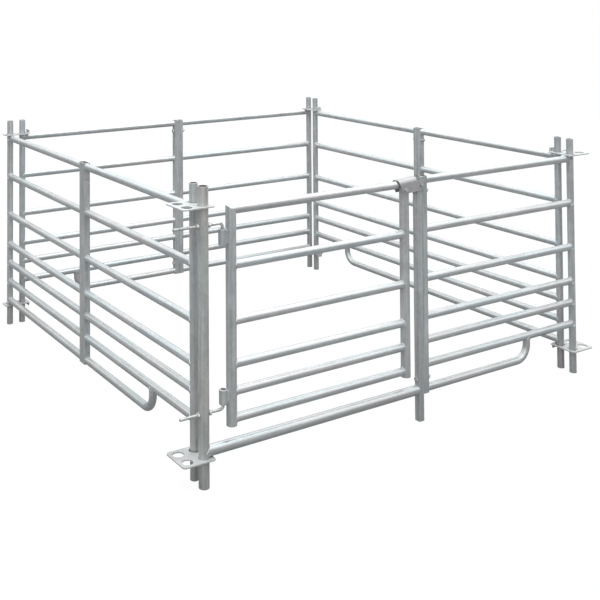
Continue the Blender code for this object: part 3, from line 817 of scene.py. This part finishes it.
def build_latch_pivot():
    low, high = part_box("latch_pivot_bolt")
    nut_low, nut_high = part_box("latch_pivot_nut")
    middle = centre("latch_pivot_bolt")
    flats = nut_high.z - nut_low.z
    form = Form()
    under_head = low.y + PIVOT_HEAD
    add_bolt(form, nut_low.y - under_head, high.y - under_head, PIVOT_R, flats, PIVOT_HEAD)
    bolt = form.build("latch_pivot_bolt_hex", [BOLT_ZINC], sharp=28)
    set_down(bolt, (middle.x, under_head, middle.z), math.pi / 2)
    hang(bolt, "pen", "zinc_fasteners", "latch_pivot_bolt")

    form = Form()
    add_nut(form, nut_high.y - nut_low.y, flats, PIVOT_R + PIVOT_NUT_PLAY)
    collar = form.build("latch_pivot_nut_hex", [BOLT_ZINC], sharp=28)
    set_down(collar, (middle.x, nut_low.y, middle.z), math.pi / 2)
    hang(collar, "pen", "zinc_fasteners", "latch_pivot_nut")


# ---------------------------------------------------------------- bent plates

def dress_plate(node, material):
    """The CAD plate has the right shape: it gets rounded edges and its own zinc."""
    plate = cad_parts[node]
    plate.data.materials.clear()
    plate.data.materials.append(material)
    bevel = plate.modifiers.new("soft_edges", "BEVEL")
    bevel.width = PLATE_BEVEL
    bevel.segments = 2
    bevel.limit_method = "ANGLE"
    bevel.angle_limit = math.radians(50)


def build_stud_head():
    """A bright domed head over the plain stud in the saddle's front flange."""
    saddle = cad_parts["latch_saddle"]
    corners = [saddle.matrix_world @ v.co for v in saddle.data.vertices]
    front = min(p.y for p in corners)
    rim = [p for p in corners if p.y < front + STUD_SHELL]
    middle = sum(rim, Vector()) / len(rim)
    radius = max((p - middle).length for p in rim)
    form = Form()
    rings = [round_ring(form, STUD_ROOT, radius * STUD_PROFILE[0][1])]
    for height, share in STUD_PROFILE:
        rings.append(round_ring(form, -STUD_DOME * height, radius * share))
    form.solid(rings)
    head = form.build("latch_stud_head", [BOLT_ZINC], sharp=50)
    set_down(head, middle, math.pi / 2)
    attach(head, "latch")


# ---------------------------------------------------------------- studio

def seen_or_reflected(tree, reflected, seen, output):
    """One shader for what the camera sees, another for what lights and reflects in the metal."""
    ray = node_at(tree, "ShaderNodeLightPath", -100, 300)
    choice = node_at(tree, "ShaderNodeMixShader", 200, 0)
    tree.links.new(ray.outputs["Is Camera Ray"], choice.inputs[0])
    tree.links.new(reflected, choice.inputs[1])
    tree.links.new(seen, choice.inputs[2])
    tree.links.new(choice.outputs[0], output.inputs["Surface"])


def build_floor():
    """White with faint shadows; the metal sees it as a grey floor."""
    material = bpy.data.materials.new("pale_floor")
    material.use_nodes = True
    tree = material.node_tree
    shader = tree.nodes["Principled BSDF"]
    shader.inputs["Base Color"].default_value = (*FLOOR_REFLECTED, 1)
    shader.inputs["Roughness"].default_value = 0.9
    shader.inputs["Specular IOR Level"].default_value = 0.0
    pale = node_at(tree, "ShaderNodeEmission", -400, -200)
    pale.inputs["Strength"].default_value = FLOOR_WHITE
    faint = node_at(tree, "ShaderNodeBsdfDiffuse", -400, -350)
    faint.inputs["Color"].default_value = (FLOOR_SHADOW, FLOOR_SHADOW, FLOOR_SHADOW, 1)
    both = node_at(tree, "ShaderNodeAddShader", -100, -250)
    tree.links.new(pale.outputs[0], both.inputs[0])
    tree.links.new(faint.outputs[0], both.inputs[1])
    seen_or_reflected(tree, shader.outputs[0], both.outputs[0], tree.nodes["Material Output"])
    mesh = bpy.data.meshes.new("floor")
    corners = [(x * FLOOR_HALF, y * FLOOR_HALF, 0) for x, y in ((-1, -1), (1, -1), (1, 1), (-1, 1))]
    mesh.from_pydata(corners, [], [(0, 1, 2, 3)])
    mesh.materials.append(material)
    floor = bpy.data.objects.new("floor", mesh)
    bpy.context.scene.collection.objects.link(floor)


def build_light():
    """A bright ceiling over a darker room, and two soft lamps; the camera sees only white."""
    bpy.context.scene.view_settings.view_transform = "Standard"
    world = bpy.data.worlds.new("studio")
    bpy.context.scene.world = world
    world.use_nodes = True
    tree = world.node_tree
    way = node_at(tree, "ShaderNodeTexCoord", -900, 0)
    height = node_at(tree, "ShaderNodeSeparateXYZ", -700, 0)
    tree.links.new(way.outputs["Generated"], height.inputs[0])
    level = node_at(tree, "ShaderNodeMapRange", -500, 0, interpolation_type="SMOOTHSTEP")
    level.inputs["From Min"].default_value = CEILING_FROM
    level.inputs["From Max"].default_value = CEILING_FULL
    level.inputs["To Min"].default_value = ROOM_LIGHT
    level.inputs["To Max"].default_value = CEILING_LIGHT
    tree.links.new(height.outputs["Z"], level.inputs["Value"])
    room = tree.nodes["Background"]
    room.inputs["Color"].default_value = (1, 1, 1, 1)
    tree.links.new(level.outputs["Result"], room.inputs["Strength"])
    white = node_at(tree, "ShaderNodeBackground", -100, -200)
    white.inputs["Color"].default_value = (1, 1, 1, 1)
    white.inputs["Strength"].default_value = 1.0
    seen_or_reflected(tree, room.outputs[0], white.outputs[0], tree.nodes["World Output"])
    for name, place, size, power in LAMPS:
        lamp = bpy.data.lights.new(name, "AREA")
        lamp.shape = "SQUARE"
        lamp.size = size
        lamp.energy = power
        obj = bpy.data.objects.new(name, lamp)
        bpy.context.scene.collection.objects.link(obj)
        obj.location = place
        obj.rotation_euler = (LAMP_TARGET - Vector(place)).to_track_quat("-Z", "Y").to_euler()


def shift_lens(camera, channel, amount):
    """Shift the lens at the photographer's standpoint; seen from anywhere else it is straight."""
    curve = camera.data.driver_add(channel)
    curve.driver.type = "SUM"
    variable = curve.driver.variables.new()
    variable.type = "TRANSFORMS"
    variable.targets[0].id = camera
    variable.targets[0].transform_type = "LOC_X"
    for modifier in list(curve.modifiers):
        curve.modifiers.remove(modifier)
    while curve.keyframe_points:
        curve.keyframe_points.remove(curve.keyframe_points[0])
    for away, value in ((-STANDPOINT_REACH, 0.0), (0.0, amount), (STANDPOINT_REACH, 0.0)):
        curve.keyframe_points.insert(STANDPOINT[0] + away, value).interpolation = "LINEAR"
    setattr(camera.data, channel, amount)


def build_camera():
    """Eye-level view from the front left, framed low by a shifted lens so that posts stay upright."""
    data = bpy.data.cameras.new("camera")
    data.sensor_width = SENSOR_MM
    data.lens = LENS_MM
    camera = bpy.data.objects.new("camera", data)
    bpy.context.scene.collection.objects.link(camera)
    forward = Vector((math.sin(HEADING) * math.cos(TILT), math.cos(HEADING) * math.cos(TILT),
                      math.sin(TILT)))
    right = Vector((math.cos(HEADING), -math.sin(HEADING), 0))
    upward = right.cross(forward)
    turned_right = right * math.cos(ROLL) + upward * math.sin(ROLL)
    turned_up = upward * math.cos(ROLL) - right * math.sin(ROLL)
    rotation = Matrix((turned_right, turned_up, -forward)).transposed()
    camera.matrix_world = Matrix.Translation(STANDPOINT) @ rotation.to_4x4()
    for channel, amount in LENS_SHIFT:
        shift_lens(camera, channel, amount)
    bpy.context.scene.camera = camera


# ---------------------------------------------------------------- the whole pen

HALF_PANELS = ("left_loop", "left_plain", "back_loop", "back_plain",
               "right_loop", "right_plain", "front_loop")
for index, half_panel in enumerate(HALF_PANELS):
    build_half_panel(half_panel, index)
build_hinge_post()
build_threshold()
build_gate_post()
build_gate()
for side in ("left", "back", "right", "front"):
    for level in ("upper", "lower"):
        build_mid_bolt(f"{side}_{level}_bolt")
for level in ("upper", "lower"):
    build_pintle(level)
build_latch_pivot()
dress_plate("latch_saddle", SADDLE_ZINC)
build_stud_head()
for corner in ("hinge", "right", "left", "back"):
    for level in ("top", "bottom"):
        dress_plate(f"{corner}_corner_{level}_plate", PLATE_ZINC)
build_floor()
build_light()
build_camera()
